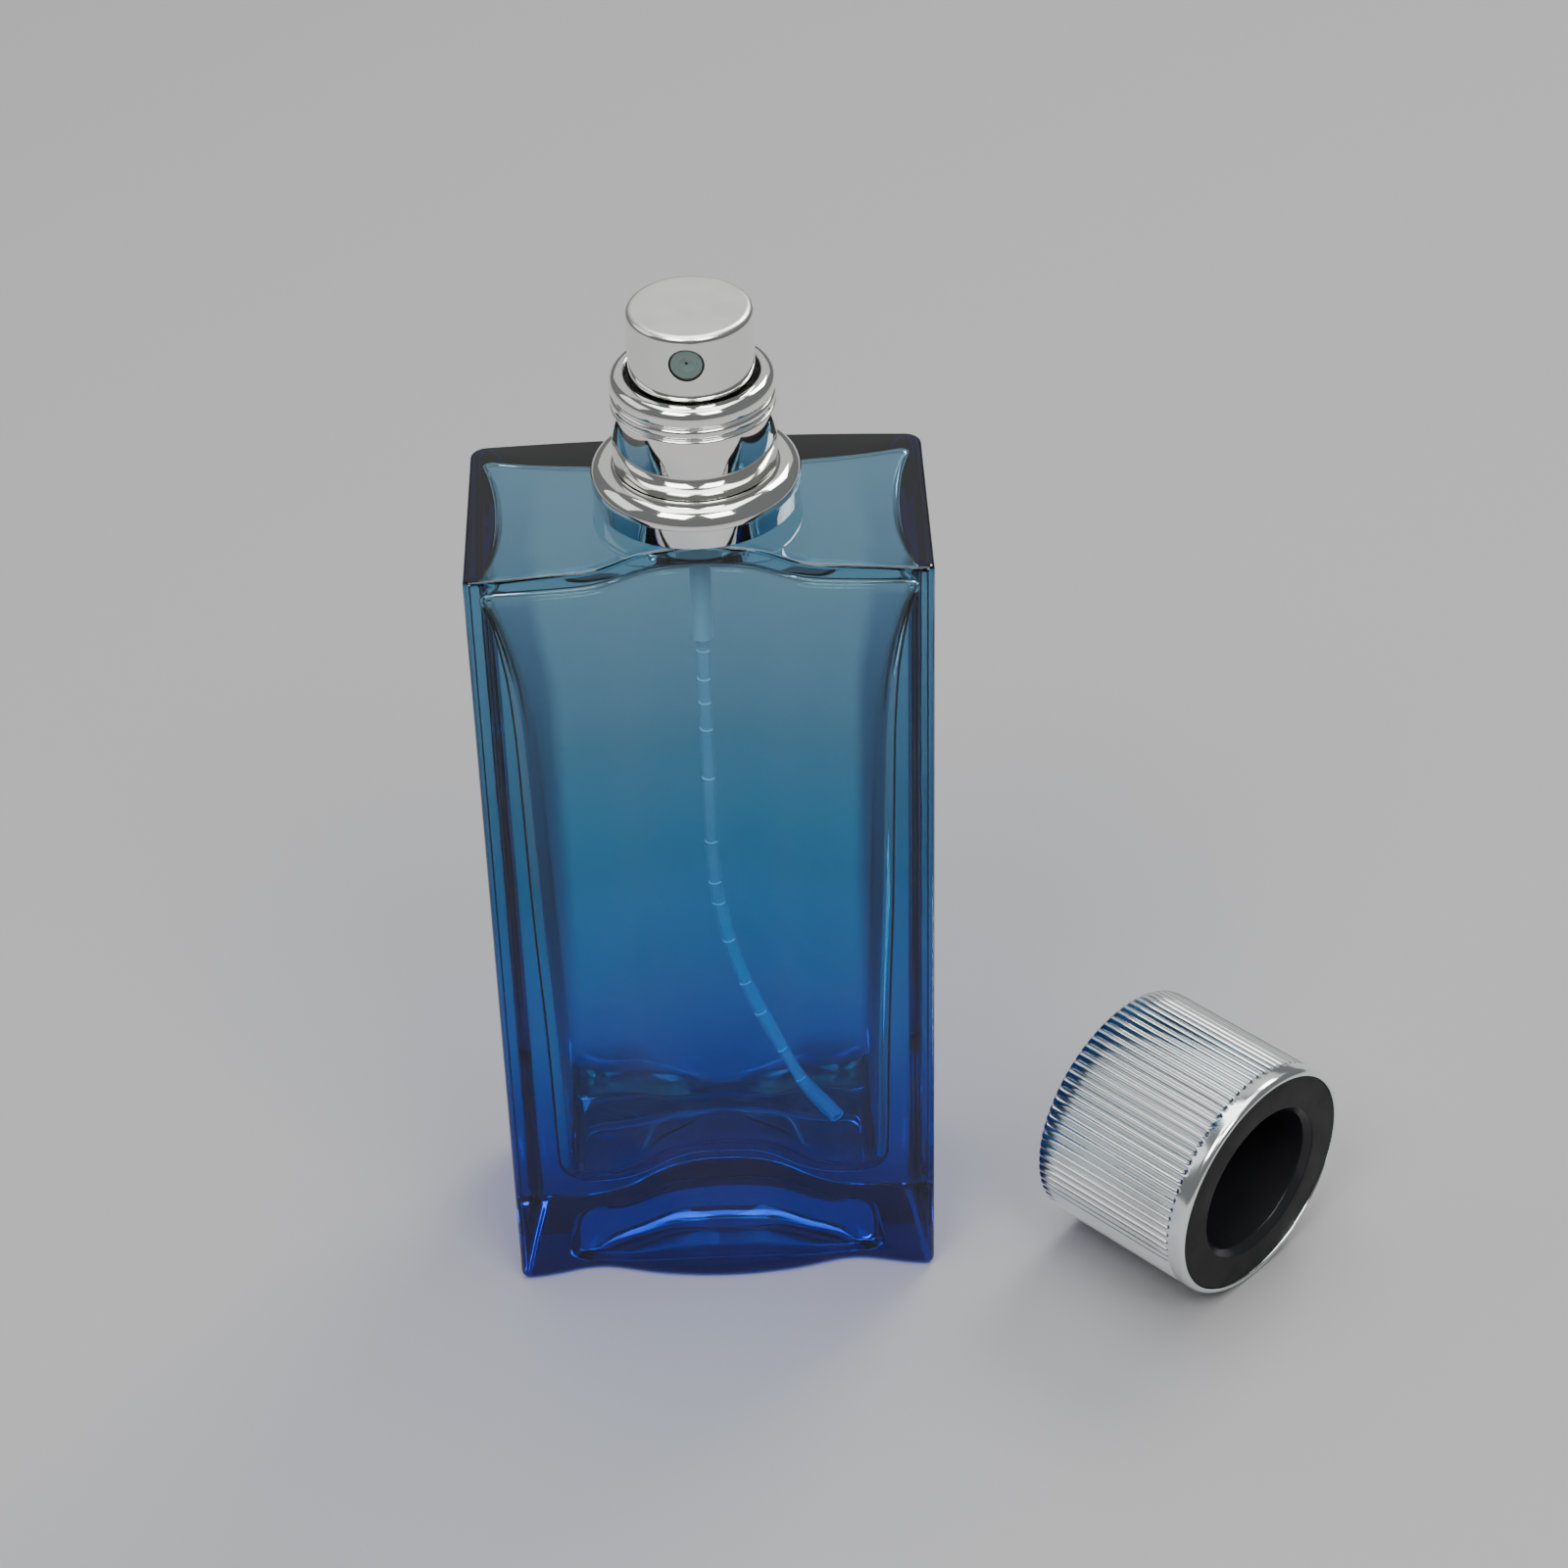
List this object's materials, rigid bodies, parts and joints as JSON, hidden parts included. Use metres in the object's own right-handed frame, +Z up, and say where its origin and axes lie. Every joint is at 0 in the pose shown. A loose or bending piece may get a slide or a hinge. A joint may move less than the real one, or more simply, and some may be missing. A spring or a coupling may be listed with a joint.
{
  "type": "aftershave spray bottle",
  "caption": "Heavy waved glass spray bottle with crimped pump and silver collar, its ribbed cap off and lying beside it.",
  "frame": {"origin": "centre of the bottle's foot, on the surface that the bottle and its cap rest on", "axes": "+Z up along the pump, -Y towards the waved front face, +X towards the side where the cap lies"},
  "size_m": [0.1087, 0.046, 0.1377],
  "materials": {
    "lacquered_glass": "clear glass, blue lacquer that fades upwards",
    "gasket_rubber": "matt",
    "pump_plastic": "natural, slightly see-through",
    "ferrule_aluminium": "drawn and crimped",
    "spring_steel": "bright",
    "tube_plastic": "clear",
    "liner_plastic": "moulded",
    "collar_silver": "bright anodised",
    "actuator_silver": "bright sides, satin top",
    "nozzle_plastic": "moulded, slightly see-through",
    "cap_silver": "plated over moulded ribs",
    "cap_black": "moulded, satin"
  },
  "bodies": {
    "bottle": {"glass_bottle": "lacquered_glass", "neck_gasket": "gasket_rubber", "pump_housing": "pump_plastic", "stem_guide": "pump_plastic", "crimp_ferrule": "ferrule_aluminium", "return_spring": "spring_steel", "dip_tube": "tube_plastic", "collar_liner": "liner_plastic", "collar": "collar_silver", "base_ring": "collar_silver"},
    "pump_stem": {"pump_stem": "pump_plastic", "piston": "pump_plastic"},
    "actuator": {"actuator_shell": "actuator_silver", "actuator_core": "pump_plastic", "nozzle_insert": "nozzle_plastic"},
    "inlet_valve": {"inlet_ball": "spring_steel"},
    "cap": {"cap_shell": "cap_silver", "cap_liner": "cap_black"}
  },
  "joints": [
    {"name": "actuator_press", "type": "slide", "parent": "bottle", "child": "pump_stem", "axis": [0, 0, -1], "range_m": [0, 0.0046], "stiffness_N_per_m": 800, "springref_m": -0.008, "deforming": ["return_spring"]},
    {"name": "actuator_spin", "type": "hinge", "parent": "pump_stem", "child": "actuator", "pos_m": [0, 0.0031, 0.13], "axis": [0, 0, 1], "continuous": true},
    {"name": "inlet_ball_lift", "type": "slide", "parent": "bottle", "child": "inlet_valve", "axis": [0, 0, 1], "range_m": [0, 0.0006]},
    {"name": "cap_lift", "type": "slide", "parent": "bottle", "child": "cap", "axis": [0, 0, 1], "range_m": [0, 0.13]}
  ]
}
